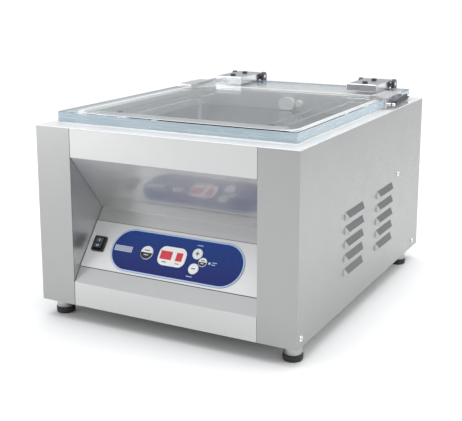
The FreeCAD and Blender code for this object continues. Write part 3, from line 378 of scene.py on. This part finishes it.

# copies of the stainless finish for solids that share a slot with others: each is made lighter or darker
# than the side sheets' stainless_sheet as painted light and shade, and some are also brushed or coated
# differently
FRONT_STEEL = brushed_metal("stainless_front", (0.50, 0.50, 0.50), 0.34, (0, 1300, 1300), streak=0.035,
                            depth=0.000005, coat=0.8, metallic=0.75)
CHEEK_STEEL = brushed_metal("stainless_cheek", (0.60, 0.60, 0.60), 0.36, (0, 1300, 1300))
DECK_STEEL = brushed_metal("stainless_deck", (0.84, 0.84, 0.84), 0.42, (0, 1300, 0), metallic=0.6)
TUB_STEEL = brushed_metal("stainless_tub", (0.62, 0.63, 0.64), 0.30, (260, 260, 0), streak=0.03,
                          metallic=0.35)
SLEEVE_STEEL = brushed_metal("sleeve_steel", (0.46, 0.46, 0.47), 0.16, (0, 0, 900))

# finishes of the printed and glazed details
WHITE_INK = ink("white_ink", (0.84, 0.86, 0.88))
GREY_INK = ink("grey_ink", (0.40, 0.44, 0.56))
SLATE_INK = ink("slate_ink", (0.075, 0.095, 0.11), 0.30)
PALE_BLUE_INK = ink("pale_blue_ink", (0.44, 0.58, 0.80))
BLACK_INK = ink("black_ink", (0.016, 0.017, 0.020))
# the unlit segments glow faintly: painted glow
DARK_RED_PAINTED_GLOW = glow("unlit_segment_painted_glow", (0.50, 0.020, 0.035), 0.1)
ACRYLIC_EDGE = sawn_acrylic()
LAMP_BLUE = glow("lamp_lens", (0.55, 0.66, 0.85), 0.15)

# solids whose stainless is lightened or darkened as painted light and shade
FINISH_AND_PAINTED_TONE = {
    "front_panel": FRONT_STEEL, "recess_cheek_left": CHEEK_STEEL, "recess_cheek_right": CHEEK_STEEL,
    "deck_plate": DECK_STEEL, "chamber_tub": TUB_STEEL, "foot_sleeves": SLEEVE_STEEL,
}


def dress_nodes():
    """Gives every solid its finish."""
    slots = {part["node"]: part["material_slot"] for part in frame["record"]["subparts"]}
    for name, thing in nodes.items():
        thing.data.materials.clear()
        thing.data.materials.append(FINISH_AND_PAINTED_TONE.get(name, MATERIALS[slots[name]]))


def soften(names, width):
    """Rounds the folded and machined edges of some solids a little."""
    for name in names:
        thing = nodes[name]
        weld = thing.modifiers.new("weld", "WELD")
        weld.merge_threshold = 0.00001
        bevel = thing.modifiers.new("edge_radius", "BEVEL")
        bevel.width = width
        bevel.segments = 2
        bevel.limit_method = "ANGLE"
        bevel.angle_limit = math.radians(30)
        bevel.harden_normals = True


# ---- mesh helpers ----------------------------------------------------------------------------


def piece(name, points, faces, material, body, smooth=False, place=Matrix.Identity(4)):
    """Mesh object that moves with one body of the solid model."""
    mesh = bpy.data.meshes.new(name)
    mesh.from_pydata([place @ Vector(p) for p in points], [], faces)
    tidy = bmesh.new()
    tidy.from_mesh(mesh)
    bmesh.ops.recalc_face_normals(tidy, faces=tidy.faces)
    tidy.to_mesh(mesh)
    tidy.free()
    mesh.materials.append(material)
    if smooth:
        mesh.shade_smooth()
    thing = bpy.data.objects.new(name, mesh)
    bpy.context.scene.collection.objects.link(thing)
    if body:
        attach(thing, body)
    return thing


def skin(rows, sides):
    """Faces of a closed body made of rings of points, one ring above the next, with flat ends."""
    faces = []
    for row in range(rows - 1):
        here, above = row * sides, (row + 1) * sides
        for i in range(sides):
            j = (i + 1) % sides
            faces.append((here + i, here + j, above + j, above + i))
    faces.append(tuple(reversed(range(sides))))
    faces.append(tuple(range((rows - 1) * sides, rows * sides)))
    return faces


class Shape:
    """Points and faces collected from several simple forms."""

    def __init__(self):
        self.points = []
        self.faces = []

    def include(self, points, faces):
        start = len(self.points)
        self.points += [tuple(p) for p in points]
        self.faces += [tuple(start + i for i in face) for face in faces]
        return self

    def prism(self, outline, low, high):
        """Straight-sided slab from a flat outline."""
        points = [(x, y, height) for height in (low, high) for x, y in outline]
        return self.include(points, skin(2, len(outline)))

    def frame_of(self, outer, inner, low, high):
        """Flat ring between two outlines with the same number of points."""
        count = len(outer)
        rings = [(outer, low), (outer, high), (inner, high), (inner, low)]
        points = [(x, y, z) for outline, z in rings for x, y in outline]
        faces = []
        for ring in range(4):
            here, following = ring * count, (ring + 1) % 4 * count
            for i in range(count):
                j = (i + 1) % count
                faces.append((here + i, here + j, following + j, following + i))
        return self.include(points, faces)

    def lathe(self, profile, sides):
        """Solid of revolution about Z from (radius, height) pairs; the ends are closed."""
        points = []
        for radius, height in profile:
            for i in range(sides):
                turn = 2 * math.pi * i / sides
                points.append((radius * math.cos(turn), radius * math.sin(turn), height))
        return self.include(points, skin(len(profile), sides))

    def tube(self, path, radius, sides=8):
        """Round wire along a path, closed at both ends."""
        points = []
        normal = None
        for index, here in enumerate(path):
            ahead = path[min(index + 1, len(path) - 1)] - path[max(index - 1, 0)]
            along = ahead.normalized()
            if normal is None:
                normal = along.orthogonal().normalized()
            normal = (normal - along * normal.dot(along)).normalized()
            across = along.cross(normal)
            for side in range(sides):
                turn = 2 * math.pi * side / sides
                points.append(here + radius * (normal * math.cos(turn) + across * math.sin(turn)))
        return self.include(points, skin(len(path), sides))


def circle(radius, sides=48, middle=(0.0, 0.0)):
    return [(middle[0] + radius * math.cos(2 * math.pi * i / sides),
             middle[1] + radius * math.sin(2 * math.pi * i / sides)) for i in range(sides)]


def rectangle(width, height, middle=(0.0, 0.0)):
    return [(middle[0] + sx * width / 2, middle[1] + sy * height / 2)
            for sx, sy in ((-1, -1), (1, -1), (1, 1), (-1, 1))]


def rounded_rectangle(width, height, radius, middle=(0.0, 0.0), steps=12):
    """Rectangle with round corners, anticlockwise from the lower right corner."""
    outline = []
    for quarter, (sx, sy) in enumerate(((1, -1), (1, 1), (-1, 1), (-1, -1))):
        cx = middle[0] + sx * (width / 2 - radius)
        cy = middle[1] + sy * (height / 2 - radius)
        for step in range(steps + 1):
            turn = math.pi / 2 * (quarter - 1 + step / steps)
            outline.append((cx + radius * math.cos(turn), cy + radius * math.sin(turn)))
    return outline


def on_panel(across, up, out=0.0):
    """Place on the sloping face: X across it, Y up it, Z out of it."""
    sine, cosine = math.sin(PANEL_TILT), math.cos(PANEL_TILT)
    back = FRONT + up * sine - out * cosine
    height = LIP_TOP + up * cosine + out * sine
    return Matrix(((1, 0, 0, across), (0, sine, -cosine, back), (0, cosine, sine, height), (0, 0, 0, 1)))


# ---- printing on the pad ----------------------------------------------------------------------


def pad_border():
    """Pale line round the edge of the pad."""
    line = 2 * MM
    corner = PAD_HEIGHT / 2 - 0.1 * MM
    outer = rounded_rectangle(PAD_WIDTH, PAD_HEIGHT, corner, steps=24)
    inner = rounded_rectangle(PAD_WIDTH - 2 * line, PAD_HEIGHT - 2 * line, corner - line, steps=24)
    shape = Shape().frame_of(outer, inner, 0.0, INK)
    piece("pad_border", shape.points, shape.faces, PALE_BLUE_INK, "housing",
          place=on_panel(PAD_ACROSS, CONTROL_LINE, PAD_FACE))


def pad_prints():
    """Blank name plate, and short bars in place of captions by the keys and in the bezel."""
    name_plate = on_panel(-82 * MM, CONTROL_LINE + 0.5 * MM, PAD_FACE)
    border = Shape().frame_of(rectangle(28.5 * MM, 8 * MM), rectangle(27.1 * MM, 6.6 * MM), 0.0, INK)
    piece("blank_name_frame", border.points, border.faces, WHITE_INK, "housing",
          place=name_plate)
    field = Shape().prism(rectangle(26.3 * MM, 5.8 * MM), 0.0, INK)
    piece("blank_name_field", field.points, field.faces, GREY_INK, "housing",
          place=name_plate)
    bars = Shape()
    for across, up, width in ((35, 81.5, 9), (32, 36.5, 9), (63.5, 60.6, 7), (62.5, 57.6, 5.6)):
        bars.prism(rectangle(width * MM, 1.1 * MM, (across * MM, up * MM)), 0.0, INK)
    piece("caption_bars", bars.points, bars.faces, PALE_BLUE_INK, "housing",
          place=on_panel(0.0, 0.0, PAD_FACE))
    marks = Shape()
    for across, width in ((-12, 7), (8.5, 6)):
        marks.prism(rectangle(width * MM, 1.1 * MM, (across * MM, 50.4 * MM)), 0.0, INK)
    piece("bezel_marks", marks.points, marks.faces, BLACK_INK, "housing",
          place=on_panel(0.0, 0.0, BEZEL_FACE))


def status_lamp():
    """Small domed lamp beside the start key, in a thin ring."""
    profile = [(1.7 * MM, 0.0), (1.7 * MM, 0.25 * MM), (1.2 * MM, 0.6 * MM), (0.4 * MM, 0.75 * MM)]
    shape = Shape().lathe(profile, 24)
    piece("status_lamp", shape.points, shape.faces, LAMP_BLUE, "housing", smooth=True,
          place=on_panel(56.4 * MM, 59 * MM, PAD_FACE))


def digit(shape, middle, height):
    """Seven-segment figure with every segment drawn."""
    width = 0.52 * height
    thick = 0.13 * height
    for up in (-0.5, 0.0, 0.5):
        place = (middle[0], middle[1] + up * (height - thick))
        shape.prism(rectangle(width - 1.3 * thick, 0.8 * thick, place), 0.0, INK)
    for across in (-0.5, 0.5):
        for up in (-0.25, 0.25):
            place = (middle[0] + across * (width - 0.4 * thick), middle[1] + up * (height - thick))
            shape.prism(rectangle(0.8 * thick, (height - thick) / 2 - 0.5 * thick, place), 0.0, INK)


def display_digits():
    """Unlit figures behind the red windows, given a faint painted glow."""
    shape = Shape()
    for across in (-15.6, -7.4, 9.2):
        digit(shape, (across * MM, CONTROL_LINE + 0.8 * MM), 8.6 * MM)
    piece("display_digits", shape.points, shape.faces, DARK_RED_PAINTED_GLOW, "housing",
          place=on_panel(0.0, 0.0, WINDOW_FACE))


def lower_half_disc(radius, sides=32):
    """Lower half of a disc, its flat side along X."""
    return [(radius * math.cos(math.pi * i / sides), -radius * math.sin(math.pi * i / sides))
            for i in range(sides + 1)]


def key_prints():
    """Printing on the keys, which moves with them."""
    for name, (across, up, radius) in (("key_program", KEY_PROGRAM), ("key_start", KEY_START)):
        lower_half = Shape().prism(lower_half_disc(radius), 0.0, INK)
        upper_bar = Shape().prism(rectangle(0.9 * radius, 1.2 * MM, (0.0, 0.36 * radius)), 0.0, INK)
        lower_bar = Shape().prism(rectangle(0.8 * radius, 1.0 * MM, (0.0, -0.36 * radius)), INK, 2 * INK)
        prints = (("_dark_half", lower_half, BLACK_INK), ("_upper_bar", upper_bar, BLACK_INK),
                  ("_lower_bar", lower_bar, WHITE_INK))
        for ending, shape, colour in prints:
            piece(name + ending, shape.points, shape.faces, colour, name + "_cap",
                  place=on_panel(across, up, KEY_FACE))
    for name, (across, up) in (("key_plus", KEY_PLUS), ("key_minus", KEY_MINUS)):
        sign = Shape().prism(rectangle(6 * MM, 1.3 * MM), 0.0, INK)
        if name == "key_plus":
            for side in (-1, 1):
                sign.prism(rectangle(1.3 * MM, 2.3 * MM, (0.0, side * 1.85 * MM)), 0.0, INK)
        piece(name + "_sign", sign.points, sign.faces, BLACK_INK, name + "_cap",
              place=on_panel(across, up, KEY_FACE))


def rocker_marks():
    """A slate-grey field with its on or off mark on each half of the rocker."""
    half_slope = math.atan(1.5 / 8.4)
    rest_tilt = Matrix.Rotation(-math.radians(ROCKER_REST), 4, "X")
    pivot = on_panel(ROCKER_ACROSS, ROCKER_UP, 0.2 * MM) @ rest_tilt
    for name, sign in (("on", 1), ("off", -1)):
        middle_of_half = Matrix.Translation((0.0, sign * 4.2 * MM, 4.95 * MM))
        place = pivot @ middle_of_half @ Matrix.Rotation(sign * half_slope, 4, "X")
        field = Shape().prism(rounded_rectangle(10.6 * MM, 6.2 * MM, 1.2 * MM, steps=5), 0.0, INK)
        piece("rocker_field_" + name, field.points, field.faces, SLATE_INK, "rocker",
              place=place)
        mark = Shape()
        if sign > 0:
            mark.prism(rectangle(0.9 * MM, 3.6 * MM), INK, 2 * INK)
        else:
            mark.frame_of(circle(1.9 * MM, 28), circle(1.2 * MM, 28), INK, 2 * INK)
        piece("rocker_mark_" + name, mark.points, mark.faces, WHITE_INK, "rocker",
              place=place)


def painted_seam_shadows():
    """Painted shadow: a dark strip standing for the shade in the gap above and below the control plate,
    where it lies on the sheet.
    """
    low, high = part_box("control_plate")
    seam = 0.8 * MM
    shape = Shape()
    for up in (PLATE_LOW - seam / 2, PLATE_HIGH + seam / 2):
        shape.prism(rectangle(high.x - low.x, seam, (0.0, up)), 0.0, 0.3 * MM)
    # black strip as painted shadow in the seam
    piece("plate_seam_painted_shadow", shape.points, shape.faces, BLACK_INK, "housing",
          place=on_panel(0.0, 0.0, 0.0))


# ---- screws, springs -------------------------------------------------------------------------


def socket_screw(shape, place, radius, height, dome, socket):
    """Round screw head with a hexagonal socket, standing on its own XY plane."""
    sides = 36
    rim = [(radius, 0.0), (radius, height - dome), (radius * 0.93, height - 0.45 * dome),
           (radius * 0.80, height)]
    points = []
    for ring_radius, level in rim:
        points += [(x, y, level) for x, y in circle(ring_radius, sides)]
    hexagon = []
    for side in range(6):
        first = Vector(circle(socket, 6)[side])
        second = Vector(circle(socket, 6)[(side + 1) % 6])
        hexagon += [first.lerp(second, step / 6) for step in range(6)]
    points += [(p.x, p.y, height) for p in hexagon]
    points += [(p.x, p.y, height * 0.4) for p in hexagon]
    shape.include([place @ Vector(p) for p in points], skin(len(points) // sides, sides))


def panel_screw_heads():
    """Button heads on the side sheets and the back sheet."""
    shape = Shape()
    out = 1.6 * MM
    for side in (-1, 1):
        turn = Matrix.Rotation(side * math.pi / 2, 4, "Y")
        for y, z in ((135, 173), (230, 37), (-250, 38)):
            place = Matrix.Translation((side * SIDE, y * MM, z * MM)) @ turn
            socket_screw(shape, place, 4.4 * MM, out, 0.9 * MM, 1.7 * MM)
    turn = Matrix.Rotation(-math.pi / 2, 4, "X")
    for x in (-190, 190):
        for z in (38, 262):
            place = Matrix.Translation((x * MM, BACK - out, z * MM)) @ turn
            socket_screw(shape, place, 4.4 * MM, out, 0.9 * MM, 1.7 * MM)
    heads = piece("panel_screw_heads", shape.points, shape.faces, MATERIALS["bright_steel"],
                  "housing")
    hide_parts("panel_screws")


def hinge_screw_heads():
    """Cap screws in the hinge blocks."""
    shape = Shape()
    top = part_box("hinge_arm_left")[1].z
    for side in (-1, 1):
        for y in (186, 232):
            place = Matrix.Translation((side * HINGE_LINE, y * MM, top))
            socket_screw(shape, place, 4.5 * MM, 3 * MM, 0.6 * MM, 2.4 * MM)
    heads = piece("hinge_screw_heads", shape.points, shape.faces, MATERIALS["dark_screw"],
                  "lid")
    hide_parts("hinge_screws")


def coil_path(front_pin, back_pin, turns, radius, hook):
    """Centre line of an extension spring: a hook round each pin and the coils between."""
    along = (back_pin - front_pin).normalized()
    sideways = Vector((1, 0, 0))
    upward = sideways.cross(along)
    span = (back_pin - front_pin).length
    path = []
    hook_turn = math.radians(250)
    hook_steps = 14
    for step in range(hook_steps + 1):
        turn = hook_turn * (1 - step / hook_steps)
        path.append(front_pin + hook * (math.cos(turn) * along + math.sin(turn) * upward))
    start = front_pin + 2.4 * hook * along
    length = span - 4.8 * hook
    steps = turns * 20
    for step in range(steps + 1):
        turn = 2 * math.pi * turns * step / steps
        middle = start + along * length * step / steps
        path.append(middle + radius * (math.cos(turn) * upward + math.sin(turn) * sideways))
    for step in range(hook_steps + 1):
        turn = hook_turn * step / hook_steps
        path.append(back_pin + hook * (-math.cos(turn) * along + math.sin(turn) * upward))
    return path


def lift_spring_wires():
    """The two coiled springs, one each side, stretched between the lid and the deck.
    """
    for name, side in (("left", -1), ("right", 1)):
        front_pin = Vector((side * SPRING_LINE, *SPRING_FRONT_PIN))
        back_pin = Vector((side * SPRING_LINE, *SPRING_BACK_PIN))
        path = coil_path(front_pin, back_pin, 17, 5.1 * MM, 3.4 * MM)
        shape = Shape().tube(path, 0.8 * MM)
        wire = piece("lift_spring_wire_" + name, shape.points, shape.faces, MATERIALS["spring_steel"],
                     None, smooth=True)
        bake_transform(wire)
        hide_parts("lift_springs")


# ---- lid slab --------------------------------------------------------------------------------


def lid_slab():
    """Clear slab with flame-polished edges, a hair thinner than the space it fills."""
    low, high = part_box("lid_panel")
    air = 0.1 * MM
    low.z += air
    high.z -= air
    chamfer = 1.2 * MM
    middle = ((low.x + high.x) / 2, (low.y + high.y) / 2)
    width, length = high.x - low.x, high.y - low.y
    levels = ((low.z, 0.5 * MM), (low.z + 0.5 * MM, 0.0), (high.z - chamfer, 0.0),
              (high.z - 0.35 * chamfer, 0.35 * chamfer), (high.z, chamfer))
    points = []
    for level, inset in levels:
        corner = 4 * MM - 0.5 * inset
        outline = rounded_rectangle(width - 2 * inset, length - 2 * inset, corner, middle, steps=6)
        points += [(x, y, level) for x, y in outline]
    faces = skin(len(levels), len(points) // len(levels))
    slab = piece("lid_slab", points, faces, MATERIALS["clear_acrylic"], "lid")
    slab.data.materials.append(ACRYLIC_EDGE)
    for face in slab.data.polygons:
        if abs(face.normal.z) < 0.2:
            face.material_index = 1
    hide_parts("lid_panel")


# ---- room ------------------------------------------------------------------------------------


def floor():
    """Plain pale floor, level and wide."""
    graph = Graph("floor_paper")
    fibre = graph.noise(9.0, detail=4.0)
    graph.use(Base_Color=graph.colours(fibre, (0.90, 0.90, 0.90), (0.93, 0.93, 0.93)))
    graph.set(Roughness=0.6)
    reach = 60.0
    points = [(x, y, 0.0) for x, y in rectangle(2 * reach, 2 * reach)]
    piece("floor", points, [(0, 1, 2, 3)], graph.material, None)


def soft_light(name, place, aim, size, power):
    """Rectangular soft light aimed at a point."""
    data = bpy.data.lights.new(name, "AREA")
    data.shape = "RECTANGLE"
    data.size, data.size_y = size
    data.energy = power
    lamp = bpy.data.objects.new(name, data)
    lamp.location = place
    lamp.rotation_mode = "QUATERNION"
    lamp.rotation_quaternion = (Vector(aim) - Vector(place)).to_track_quat("-Z", "Y")
    bpy.context.scene.collection.objects.link(lamp)


def room_light():
    """Even studio light, dimmer at the horizon than overhead, with three soft boxes."""
    world = bpy.data.worlds.new("studio")
    world.use_nodes = True
    tree = world.node_tree
    background = tree.nodes["Background"]
    direction = tree.nodes.new("ShaderNodeTexCoord")
    split = tree.nodes.new("ShaderNodeSeparateXYZ")
    tree.links.new(direction.outputs["Generated"], split.inputs["Vector"])
    rise = tree.nodes.new("ShaderNodeMapRange")
    rise.interpolation_type = "SMOOTHSTEP"
    rise.inputs["From Min"].default_value = 0.0
    rise.inputs["From Max"].default_value = 0.6
    rise.inputs["To Min"].default_value = HORIZON_LIGHT
    rise.inputs["To Max"].default_value = ZENITH_LIGHT
    tree.links.new(split.outputs["Z"], rise.inputs["Value"])
    tree.links.new(rise.outputs["Result"], background.inputs["Strength"])
    background.inputs["Color"].default_value = (0.97, 0.985, 1.0, 1.0)
    bpy.context.scene.world = world
    soft_light("top_box", (0.0, 0.2, 2.4), (0.0, 0.0, 0.2), (2.2, 2.2), 14.0)
    soft_light("front_box", (-1.7, -1.7, 0.5), (0.0, -0.2, 0.15), (1.2, 1.4), 10.0)
    soft_light("floor_box", (1.2, 0.0, 0.7), (0.5, 0.0, 0.0), (0.5, 0.9), 4.0)
    sky = bpy.data.objects.new("overhead", bpy.data.lights.new("overhead", "SUN"))
    sky.data.energy = OVERHEAD_LIGHT
    sky.data.angle = math.radians(60)
    bpy.context.scene.collection.objects.link(sky)
    bpy.context.scene.view_settings.view_transform = "Standard"


def camera():
    """Long lens, slightly above the lid, from the front and a little to the right."""
    azimuth = math.radians(27.7)
    elevation = math.radians(11.8)
    level = math.cos(elevation)
    forward = Vector((-math.sin(azimuth) * level, math.cos(azimuth) * level, -math.sin(elevation)))
    data = bpy.data.cameras.new("camera")
    data.sensor_width = 36.0
    data.lens = 69.35
    data.shift_y = -0.109
    data.clip_start = 0.05
    data.clip_end = 60.0
    eye = bpy.data.objects.new("camera", data)
    eye.location = (0.6088, -1.2162, 0.4848)
    eye.rotation_mode = "QUATERNION"
    eye.rotation_quaternion = forward.to_track_quat("-Z", "Y")
    bpy.context.scene.collection.objects.link(eye)
    bpy.context.scene.camera = eye


dress_nodes()
soften(("front_panel", "deck_plate"), 0.5 * MM)
soften(("hinge_arm_left", "hinge_arm_right", "foot_sleeves", "control_plate"), 0.3 * MM)
pad_border()
pad_prints()
status_lamp()
display_digits()
key_prints()
rocker_marks()
painted_seam_shadows()
panel_screw_heads()
hinge_screw_heads()
lift_spring_wires()
lid_slab()
floor()
room_light()
camera()
